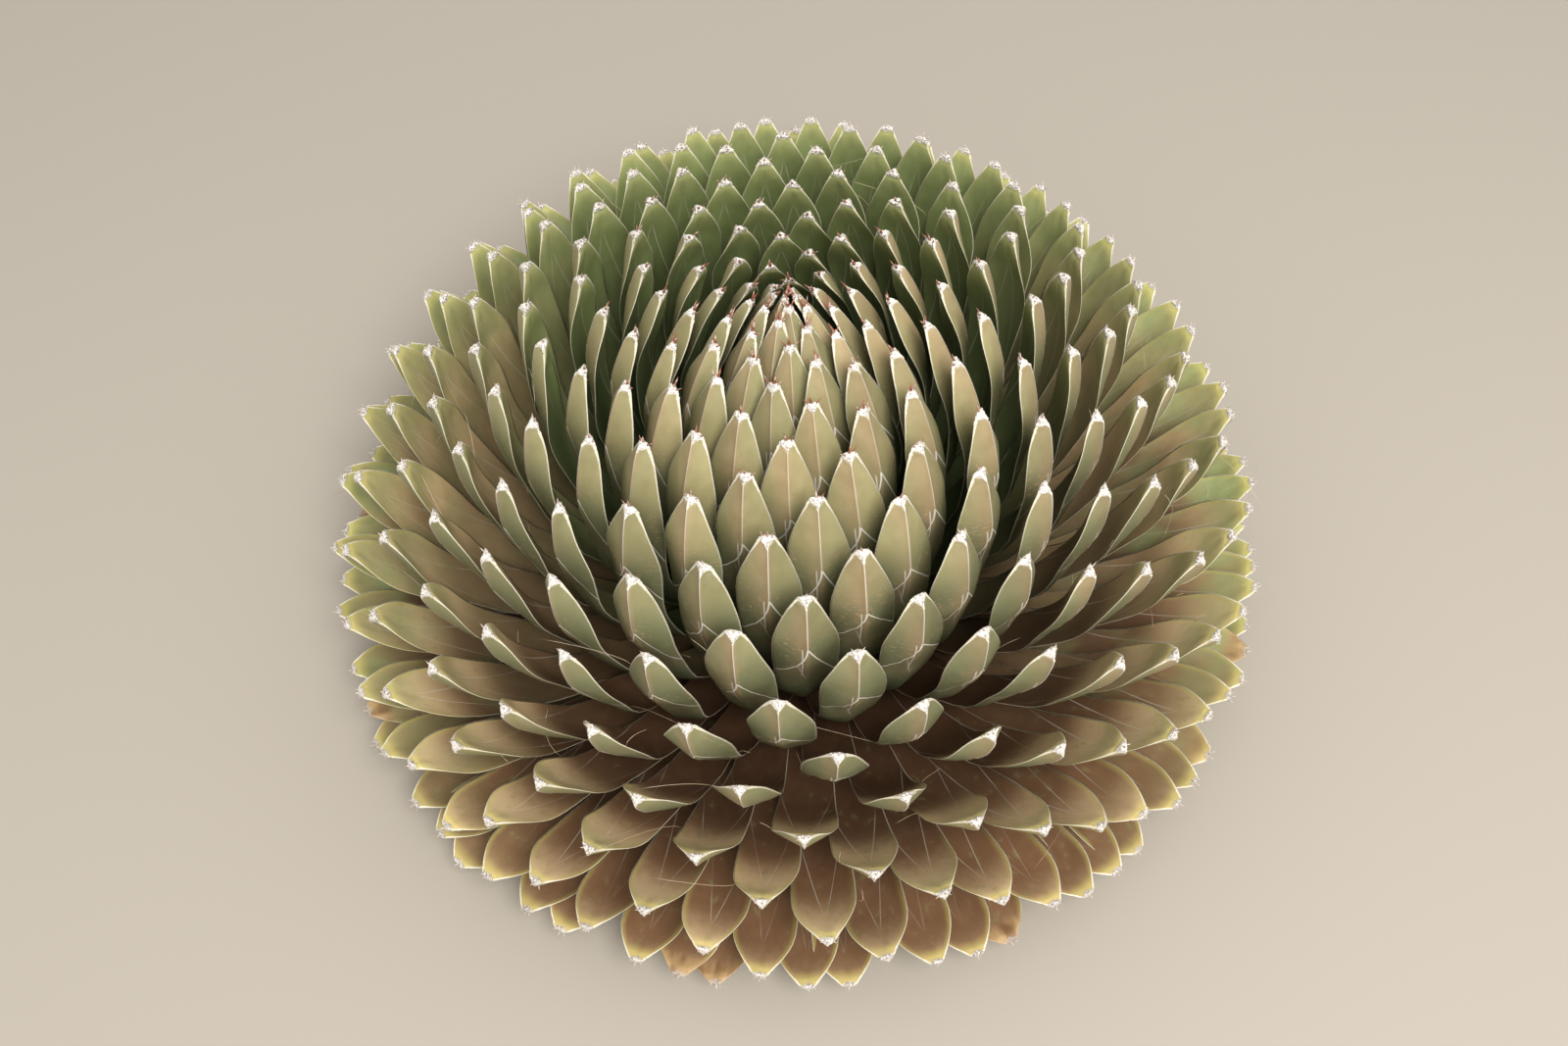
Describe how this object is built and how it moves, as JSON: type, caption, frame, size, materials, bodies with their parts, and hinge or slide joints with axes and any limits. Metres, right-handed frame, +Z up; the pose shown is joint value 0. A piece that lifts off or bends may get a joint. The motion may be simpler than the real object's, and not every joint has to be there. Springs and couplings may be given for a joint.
{
  "type": "queen victoria agave",
  "caption": "Domed, dense rosette of thick keeled agave leaves spiralling round a short stem, cut flat under the lowest leaves to rest on a surface.",
  "frame": {"origin": "centre of the stem's cut face, which the plant rests on", "axes": "+Z up along the stem, towards the crown; -Y is the side seen first"},
  "size_m": [0.5687, 0.5655, 0.267],
  "materials": {
    "stem_bark": "rough, fibrous, dry",
    "young_leaf": "smooth waxy skin, pale yellow-green to cream, with white horny margins and keel",
    "old_leaf": "smooth waxy skin, dull green to olive, with white horny margins and caps"
  },
  "bodies": {
    "root": {"stem": "stem_bark", "young_leaves": "young_leaf", "old_leaves": "old_leaf"}
  },
  "joints": []
}
